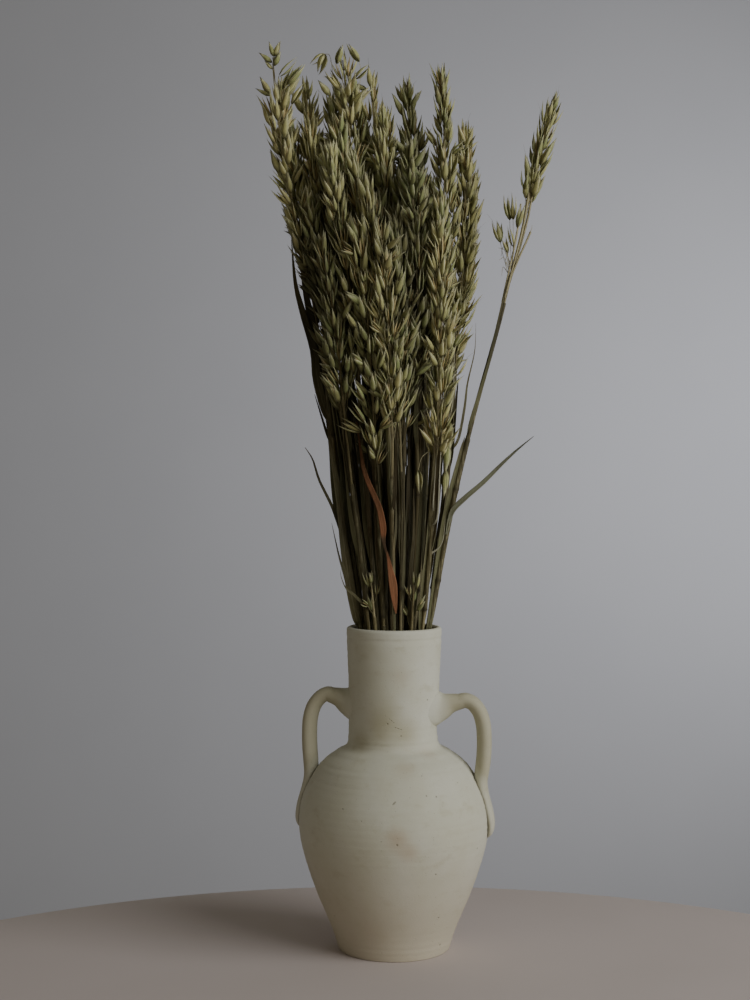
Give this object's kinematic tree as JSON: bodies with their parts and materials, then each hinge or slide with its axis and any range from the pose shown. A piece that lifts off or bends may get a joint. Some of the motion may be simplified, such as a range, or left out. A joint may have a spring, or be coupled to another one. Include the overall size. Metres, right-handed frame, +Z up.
{
  "type": "vase of dried oats",
  "caption": "Pale unglazed clay vase with two strap handles, holding a tall fan of dried oat stems with loose dried leaves; a standing table arrangement.",
  "frame": {"origin": "centre of the vase's flat underside, on the surface that it stands on", "axes": "+Z up along the vase's turning axis; the two handles lie along X; -Y is the front, where the rust-coloured leaf shows; the bunch is turned 8 degrees about +Z"},
  "size_m": [0.2682, 0.1766, 0.8394],
  "materials": {
    "clay": "matte unglazed bisque, cream with faint yellow-olive stains, fine pits and throwing lines",
    "straw": "dried straw and papery husks, sage-khaki to straw yellow, darker sheaths low down",
    "rust_leaf": "dry curled leaf, rust orange with browner edges"
  },
  "bodies": {
    "root": {"vase": "clay", "rust_leaf": "rust_leaf", "long_leaf": "straw", "stray_oat": "straw", "oat_shoot_1": "straw", "oat_shoot_2": "straw", "oat_01": "straw", "oat_02": "straw", "oat_03": "straw", "oat_04": "straw", "oat_05": "straw", "oat_06": "straw", "oat_07": "straw", "oat_08": "straw", "oat_09": "straw", "oat_10": "straw", "oat_11": "straw", "oat_12": "straw", "oat_13": "straw", "oat_14": "straw", "oat_15": "straw", "oat_16": "straw", "oat_17": "straw", "oat_18": "straw", "oat_19": "straw", "oat_20": "straw", "oat_21": "straw", "oat_22": "straw", "oat_23": "straw", "oat_24": "straw", "oat_25": "straw", "oat_26": "straw", "oat_27": "straw", "oat_28": "straw", "oat_29": "straw", "oat_30": "straw", "oat_31": "straw", "oat_32": "straw", "oat_33": "straw", "oat_34": "straw", "oat_35": "straw", "oat_36": "straw", "oat_37": "straw", "oat_38": "straw", "oat_39": "straw", "oat_40": "straw", "oat_41": "straw"}
  },
  "joints": []
}
